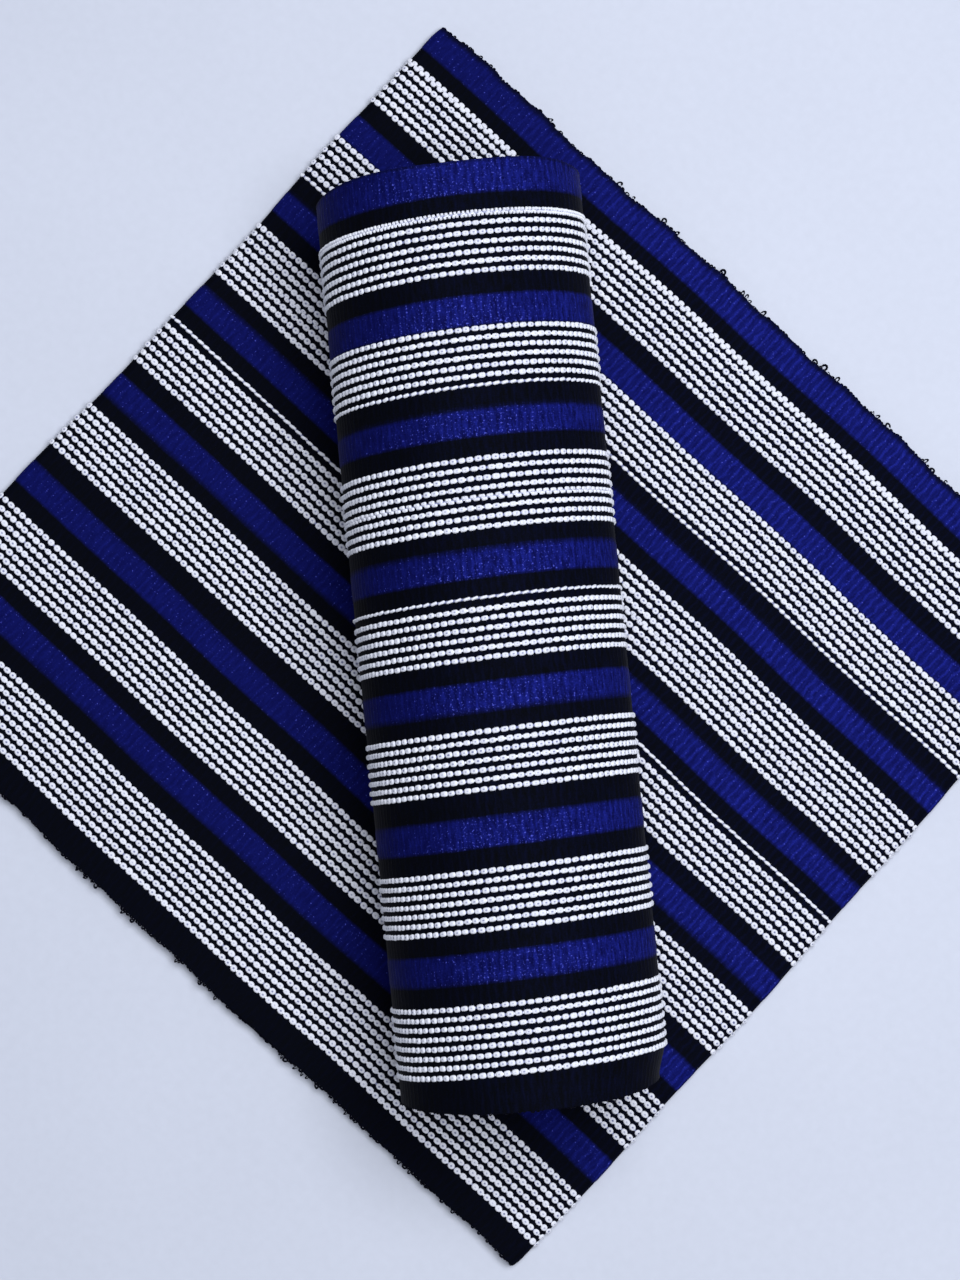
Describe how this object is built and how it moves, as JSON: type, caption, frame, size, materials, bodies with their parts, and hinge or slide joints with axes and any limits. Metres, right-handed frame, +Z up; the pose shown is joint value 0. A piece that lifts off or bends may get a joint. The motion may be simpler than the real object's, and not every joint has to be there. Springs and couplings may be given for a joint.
{
  "type": "wrapper cloth, part folded flat and part rolled",
  "caption": "Hand-woven striped wrapper cloth, one end folded flat into a square and the rest rolled and laid across it.",
  "frame": {"origin": "centre of the object's box on the plane that it rests on", "axes": "+Z up, X along the stripes of the folded square from its left fold to its right fold, Y from its black selvedge to its blue selvedge"},
  "size_m": [0.3648, 0.3526, 0.107],
  "materials": {
    "striped_weave": "royal blue and black warp stripes of soft cotton, matt with a faint thread sheen",
    "layered_edges": "black cotton selvedges of the layers beneath, matt",
    "white_floats": "rows of raised white cotton floats, matt",
    "selvedge_loops": "small loops of black weft thread along the selvedges, matt"
  },
  "bodies": {
    "root": {"folded_outer_turn": "striped_weave", "folded_hidden_layers": "layered_edges", "roll_outer_turn": "striped_weave", "roll_inner_turns": "layered_edges"}
  },
  "joints": []
}
